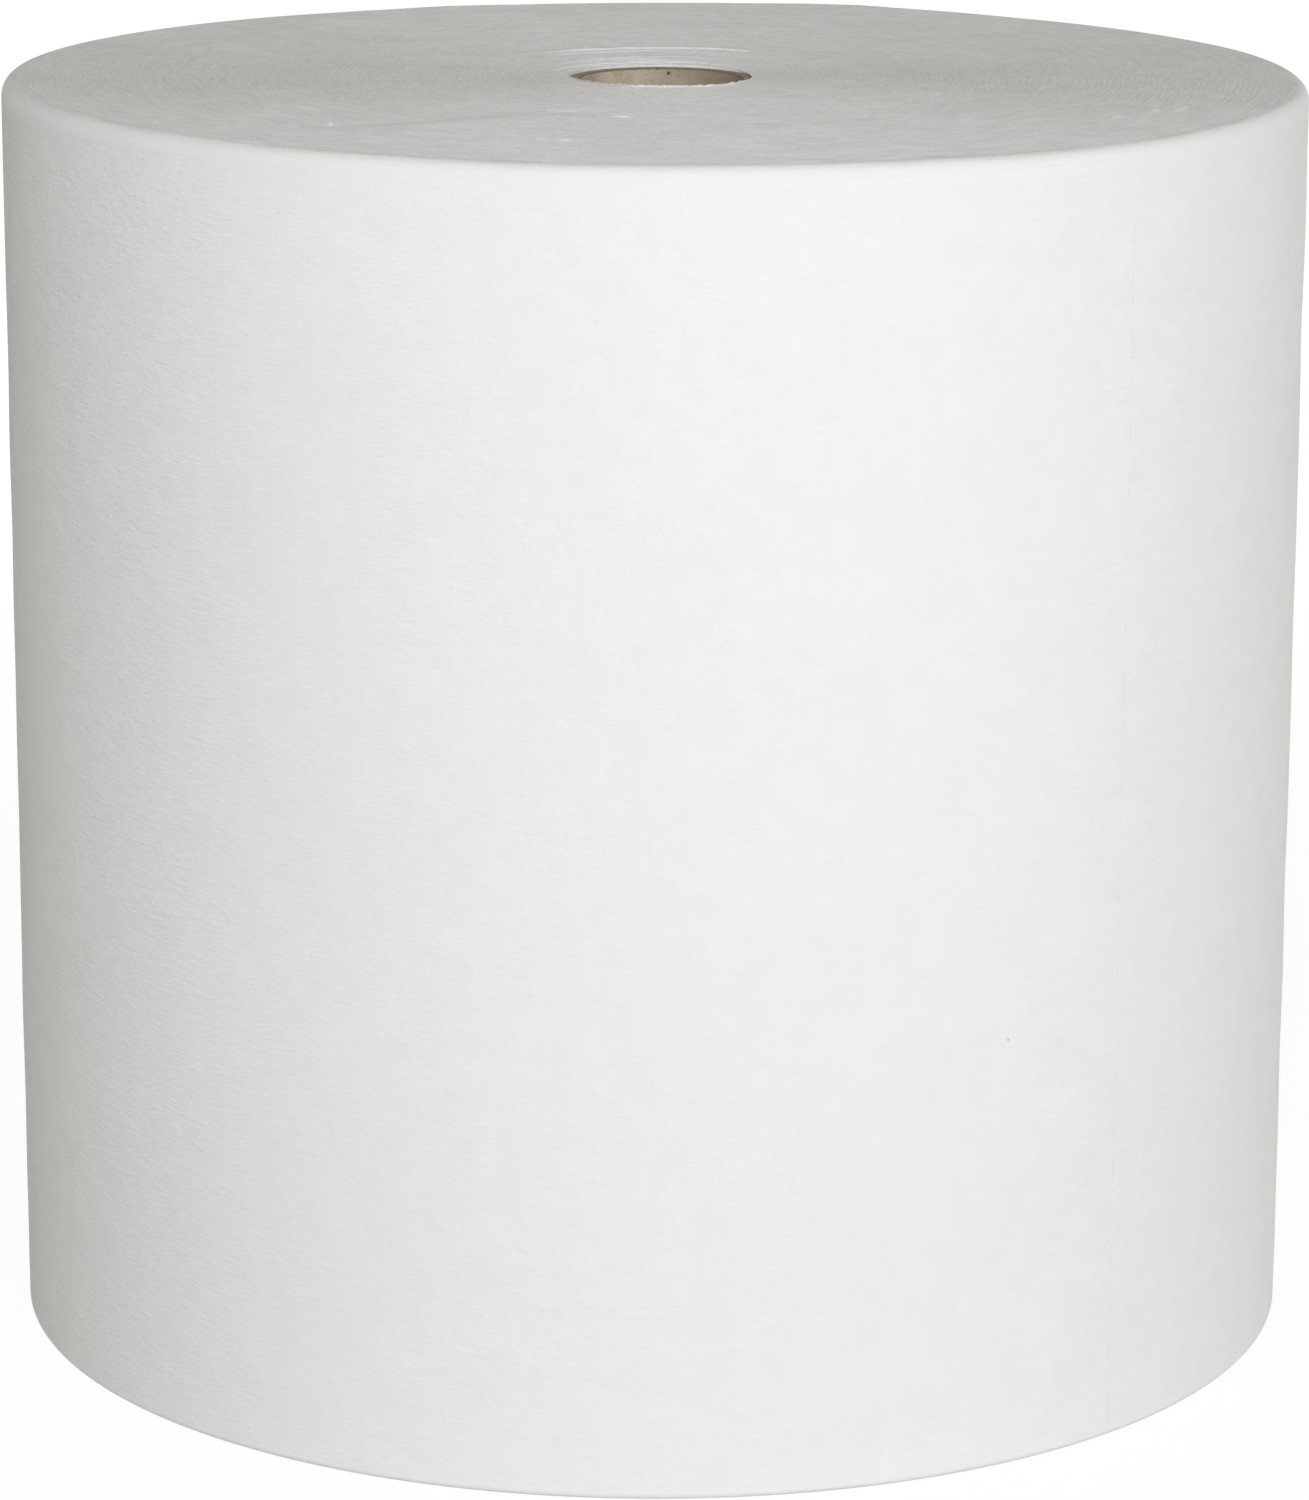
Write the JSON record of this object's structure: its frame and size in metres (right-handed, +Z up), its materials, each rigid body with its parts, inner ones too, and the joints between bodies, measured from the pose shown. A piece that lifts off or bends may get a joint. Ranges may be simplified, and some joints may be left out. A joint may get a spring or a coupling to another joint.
{
  "type": "nonwoven wipe roll",
  "caption": "Jumbo roll of white nonwoven wipes wound tight on a paperboard tube, standing on one end, with its bore open right through for a spindle.",
  "frame": {"origin": "on the roll's axis, at the flat end it stands on", "axes": "+Z up along the roll's axis; -Y is the side seen first; the tail edge of the web is on the far side, 72 degrees from +X towards +Y"},
  "size_m": [0.3273, 0.3272, 0.3175],
  "materials": {
    "nonwoven": "matte soft fibre, faint sheen",
    "paperboard": "matte grey-brown board"
  },
  "bodies": {
    "root": {"wound_web": "nonwoven", "core_tube": "paperboard"}
  },
  "joints": []
}
